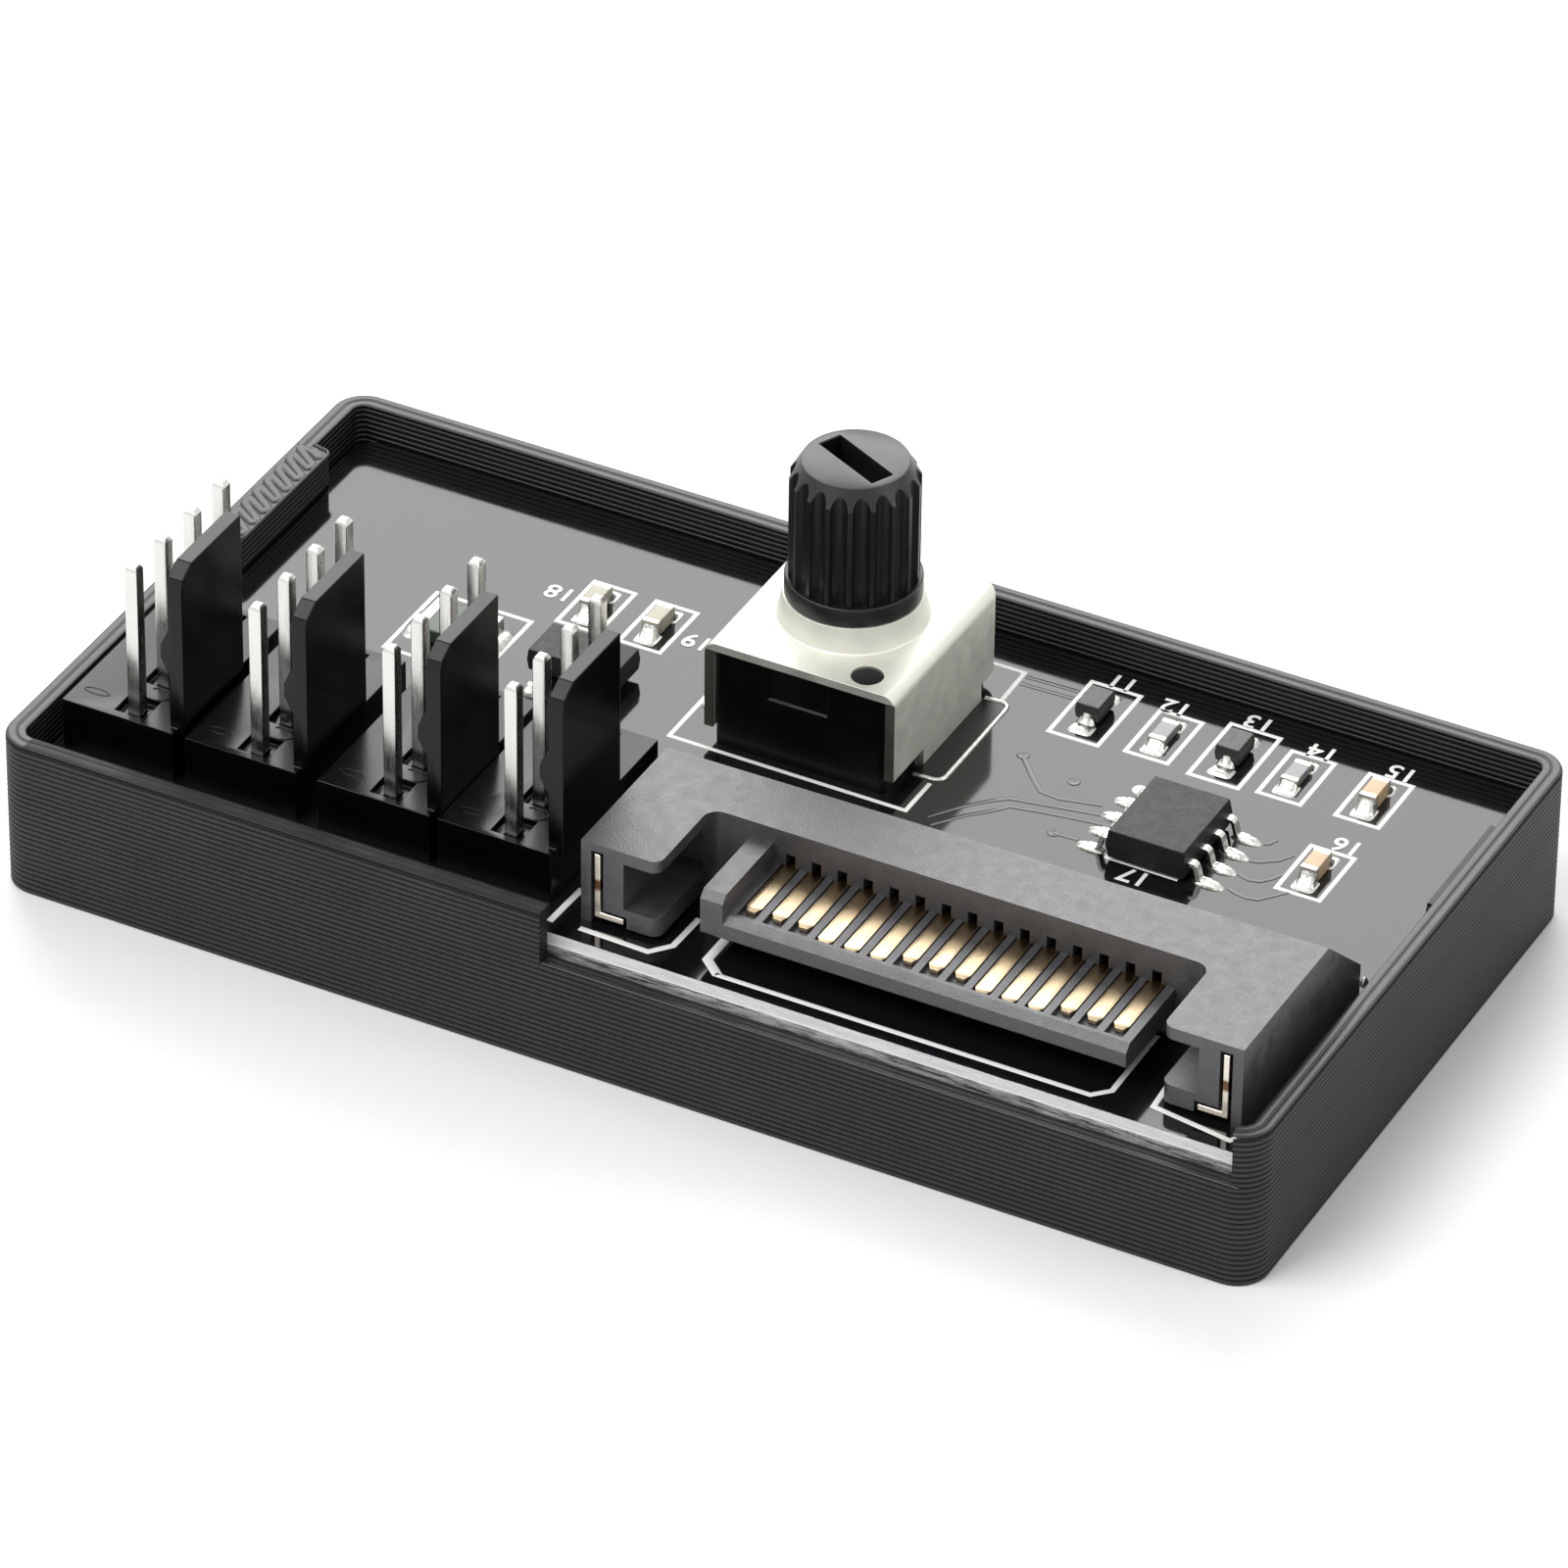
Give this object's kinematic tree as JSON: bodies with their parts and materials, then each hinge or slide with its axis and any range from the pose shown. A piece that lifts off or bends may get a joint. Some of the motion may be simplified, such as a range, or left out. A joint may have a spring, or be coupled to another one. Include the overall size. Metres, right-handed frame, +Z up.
{
  "type": "fan speed hub",
  "caption": "Open printed tray with a circuit board that carries a row of fan headers, a flat power plug and a dial that sets the fans' speed.",
  "frame": {"origin": "middle of the tray's base, on the ground", "axes": "+X along the tray from the fan headers to the power plug, +Y from the plug's mouth to the back wall, +Z up along the dial's shaft"},
  "size_m": [0.0624, 0.032, 0.0199],
  "materials": {
    "tray": "printed in layers, satin black",
    "board": "glossy black lacquer",
    "black_plastic": "satin black",
    "tin": "tin plate",
    "plug": "matte dark grey",
    "contacts": "thin gold plate",
    "cover": "satin plated sheet",
    "shaft": "satin black",
    "chip": "moulded black",
    "ceramic": "tan ceramic",
    "resistor": "black glaze",
    "fuse": "satin dark laminate"
  },
  "bodies": {
    "hub": {"tray": "tray", "circuit_board": "board", "plug_housing": "plug", "plug_contacts": "contacts", "plug_strip_left": "tin", "plug_strip_right": "tin", "dial_cover": "cover", "dial_case": "black_plastic", "dial_terminals": "tin", "timer_chip": "chip", "timer_chip_leads": "tin", "regulator": "chip", "regulator_leads": "tin", "fuse": "fuse", "fan_header_1": "black_plastic", "header_pins_1": "tin", "capacitor_1": "ceramic", "fan_header_2": "black_plastic", "header_pins_2": "tin", "capacitor_2": "ceramic", "fan_header_3": "black_plastic", "header_pins_3": "tin", "capacitor_3": "ceramic", "fan_header_4": "black_plastic", "header_pins_4": "tin", "capacitor_4": "ceramic", "resistor_1": "resistor", "diode_1": "chip", "diode_1_leads": "tin", "resistor_2": "resistor", "diode_2": "chip", "diode_2_leads": "tin"},
    "dial": {"dial_shaft": "shaft"}
  },
  "joints": [
    {"name": "dial_turn", "type": "hinge", "parent": "hub", "child": "dial", "pos_m": [0.0002, 0.00625, 0.013], "axis": [0, 0, 1], "range_deg": [-140, 140]}
  ]
}
